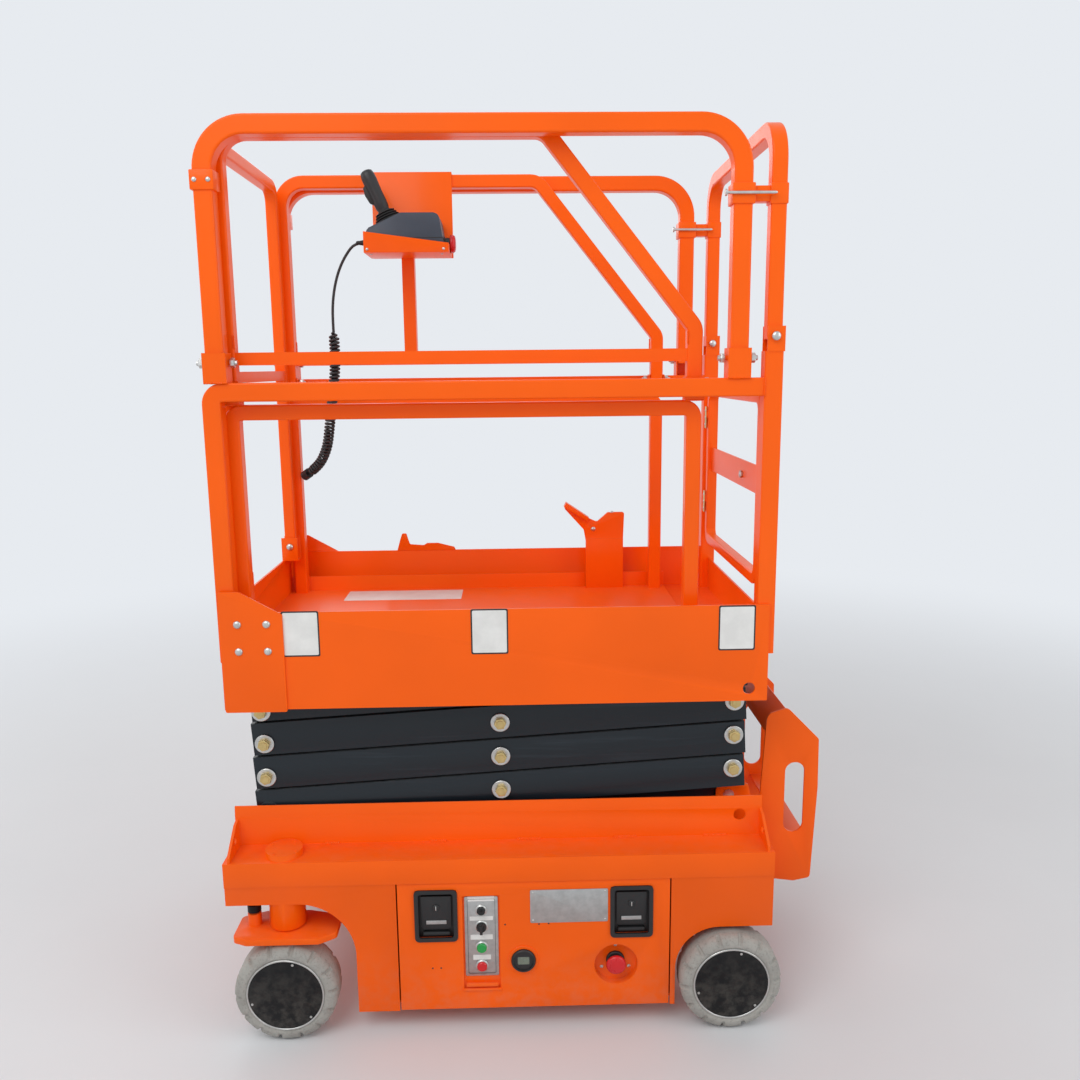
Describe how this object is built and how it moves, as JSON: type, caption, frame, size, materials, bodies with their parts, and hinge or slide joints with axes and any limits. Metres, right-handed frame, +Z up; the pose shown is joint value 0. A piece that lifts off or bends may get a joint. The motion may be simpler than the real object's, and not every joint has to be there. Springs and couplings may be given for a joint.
{
  "type": "scissor lift",
  "caption": "Self-propelled mini scissor lift with folding guardrails, sliding platform extension, entry ladder, gate and a control box on a curly cord.",
  "frame": {"origin": "on the floor under the middle of the whole machine's bounding box", "axes": "+Z up, +X towards the entry ladder and gate, -Y the side with the ground control door"},
  "size_m": [1.361, 0.7584, 1.9773],
  "materials": {
    "orange_paint": "glossy orange paint",
    "charcoal_paint": "dark charcoal paint",
    "black_paint": "satin black paint",
    "steel": "zinc plated steel",
    "grey_tyre": "pale grey non-marking rubber",
    "black_plastic": "matt black plastic",
    "red_plastic": "red plastic",
    "grey_plastic": "dark blue grey plastic",
    "black_rubber": "black rubber",
    "cord_rubber": "black cord"
  },
  "bodies": {
    "base": {"base_frame": "orange_paint", "ladder": "orange_paint", "inner_blocks": "black_paint", "pivot_shaft": "steel"},
    "door_near_body": {"door_near": "orange_paint", "door_latches": "black_plastic", "door_controls": "black_plastic", "door_stop": "red_plastic"},
    "door_far_body": {"door_far": "orange_paint"},
    "knuckle_near_body": {"knuckle_near": "orange_paint"},
    "knuckle_far_body": {"knuckle_far": "orange_paint"},
    "tie_rod_body": {"tie_rod": "steel"},
    "platform": {"platform_frame": "orange_paint", "fixed_rail_near": "orange_paint", "fixed_rail_far": "orange_paint", "side_hoop_near": "orange_paint", "side_hoop_far": "orange_paint", "rear_hoop": "orange_paint"},
    "extension": {"extension_deck": "orange_paint", "inner_rail_near": "orange_paint", "inner_rail_far": "orange_paint", "inner_hoop_near": "orange_paint", "inner_hoop_far": "orange_paint", "front_rail": "orange_paint", "foot_lock": "orange_paint", "control_tray": "orange_paint", "control_case": "grey_plastic", "control_lever": "black_rubber", "cord_drop": "cord_rubber", "cord_curl": "cord_rubber", "cord_plug": "black_plastic"},
    "gate_body": {"gate": "orange_paint"},
    "lift_barrel_body": {"lift_barrel": "black_paint"},
    "lift_rod_body": {"lift_rod": "steel"},
    "wheel_front_near": {"tyre_front_near": "grey_tyre", "hub_front_near": "black_paint"},
    "wheel_front_far": {"tyre_front_far": "grey_tyre", "hub_front_far": "black_paint"},
    "wheel_rear_near": {"tyre_rear_near": "grey_tyre", "hub_rear_near": "black_paint"},
    "wheel_rear_far": {"tyre_rear_far": "grey_tyre", "hub_rear_far": "black_paint"},
    "inner_1": {"arms_inner_1": "charcoal_paint"},
    "outer_1": {"arms_outer_1": "charcoal_paint"},
    "inner_2": {"arms_inner_2": "charcoal_paint"},
    "outer_2": {"arms_outer_2": "charcoal_paint"},
    "inner_3": {"arms_inner_3": "charcoal_paint"},
    "outer_3": {"arms_outer_3": "charcoal_paint"},
    "inner_4": {"arms_inner_4": "charcoal_paint"},
    "outer_4": {"arms_outer_4": "charcoal_paint"}
  },
  "joints": [
    {"name": "lift", "type": "hinge", "parent": "base", "child": "inner_1", "pos_m": [0.4635, 0, 0.498], "axis": [0, 1, 0], "range_deg": [0, 47]},
    {"name": "outer_1_turn", "type": "hinge", "parent": "inner_1", "child": "outer_1", "pos_m": [-0.06748, 0, 0.5382], "axis": [0, 1, 0], "range_deg": [-97, 0]},
    {"name": "inner_2_turn", "type": "hinge", "parent": "outer_1", "child": "inner_2", "pos_m": [0.4635, 0, 0.5784], "axis": [0, 1, 0], "range_deg": [0, 97]},
    {"name": "outer_2_turn", "type": "hinge", "parent": "inner_2", "child": "outer_2", "pos_m": [-0.06748, 0, 0.6186], "axis": [0, 1, 0], "range_deg": [-97, 0]},
    {"name": "inner_3_turn", "type": "hinge", "parent": "outer_2", "child": "inner_3", "pos_m": [0.4635, 0, 0.6588], "axis": [0, 1, 0], "range_deg": [0, 97]},
    {"name": "outer_3_turn", "type": "hinge", "parent": "inner_3", "child": "outer_3", "pos_m": [-0.06748, 0, 0.699], "axis": [0, 1, 0], "range_deg": [-97, 0]},
    {"name": "inner_4_turn", "type": "hinge", "parent": "outer_3", "child": "inner_4", "pos_m": [0.4635, 0, 0.7392], "axis": [0, 1, 0], "range_deg": [0, 97]},
    {"name": "outer_4_turn", "type": "hinge", "parent": "inner_4", "child": "outer_4", "pos_m": [-0.06748, 0, 0.7794], "axis": [0, 1, 0], "range_deg": [-97, 0]},
    {"name": "platform_level", "type": "hinge", "parent": "outer_4", "child": "platform", "pos_m": [0.4635, 0, 0.8196], "axis": [0, 1, 0], "range_deg": [0, 50]},
    {"name": "barrel_swing", "type": "hinge", "parent": "base", "child": "lift_barrel_body", "pos_m": [0.4635, 0, 0.498], "axis": [0, 1, 0], "range_deg": [0, 59.59]},
    {"name": "rod_slide", "type": "slide", "parent": "lift_barrel_body", "child": "lift_rod_body", "axis": [-0.9887, 0, 0.1497], "range_m": [0, 0.71734]},
    {"name": "steering", "type": "hinge", "parent": "base", "child": "knuckle_near_body", "pos_m": [-0.5545, -0.311, 0.243], "axis": [0, 0, 1], "range_deg": [-40, 40]},
    {"name": "steering_far", "type": "hinge", "parent": "base", "child": "knuckle_far_body", "pos_m": [-0.5545, 0.311, 0.243], "axis": [0, 0, 1], "range_deg": [-40, 40]},
    {"name": "tie_rod_pin", "type": "hinge", "parent": "knuckle_near_body", "child": "tie_rod_body", "pos_m": [-0.6295, -0.311, 0.293], "axis": [0, 0, 1], "range_deg": [-40, 40]},
    {"name": "wheel_front_near_spin", "type": "hinge", "parent": "knuckle_near_body", "child": "wheel_front_near", "pos_m": [-0.5545, -0.34, 0.115], "axis": [0, 1, 0], "continuous": true},
    {"name": "wheel_front_far_spin", "type": "hinge", "parent": "knuckle_far_body", "child": "wheel_front_far", "pos_m": [-0.5545, 0.34, 0.115], "axis": [0, 1, 0], "continuous": true},
    {"name": "wheel_rear_near_spin", "type": "hinge", "parent": "base", "child": "wheel_rear_near", "pos_m": [0.4455, -0.34, 0.115], "axis": [0, 1, 0], "continuous": true},
    {"name": "wheel_rear_far_spin", "type": "hinge", "parent": "base", "child": "wheel_rear_far", "pos_m": [0.4455, 0.34, 0.115], "axis": [0, 1, 0], "continuous": true},
    {"name": "door_near_hinge", "type": "hinge", "parent": "base", "child": "door_near_body", "pos_m": [0, -0.333, 0.057], "axis": [1, 0, 0], "range_deg": [0, 80]},
    {"name": "door_far_hinge", "type": "hinge", "parent": "base", "child": "door_far_body", "pos_m": [0, 0.333, 0.057], "axis": [-1, 0, 0], "range_deg": [0, 80]},
    {"name": "gate_swing", "type": "hinge", "parent": "platform", "child": "gate_body", "pos_m": [0.4935, 0.29, 1.2], "axis": [0, 0, 1], "range_deg": [-68, 0]},
    {"name": "extension_slide", "type": "slide", "parent": "platform", "child": "extension", "axis": [-1, 0, 0], "range_m": [0, 0.55]}
  ],
  "couplings": [
    {"joint": "outer_1_turn", "follows": "lift", "ratio": -2},
    {"joint": "inner_2_turn", "follows": "lift", "ratio": 2},
    {"joint": "outer_2_turn", "follows": "lift", "ratio": -2},
    {"joint": "inner_3_turn", "follows": "lift", "ratio": 2},
    {"joint": "outer_3_turn", "follows": "lift", "ratio": -2},
    {"joint": "inner_4_turn", "follows": "lift", "ratio": 2},
    {"joint": "outer_4_turn", "follows": "lift", "ratio": -2},
    {"joint": "platform_level", "follows": "lift", "ratio": 1},
    {"joint": "barrel_swing", "follows": "lift", "ratio": 1.2677},
    {"joint": "rod_slide", "follows": "lift", "m_per_rad": 0.87423},
    {"joint": "steering_far", "follows": "steering", "ratio": 1},
    {"joint": "tie_rod_pin", "follows": "steering", "ratio": -1}
  ]
}
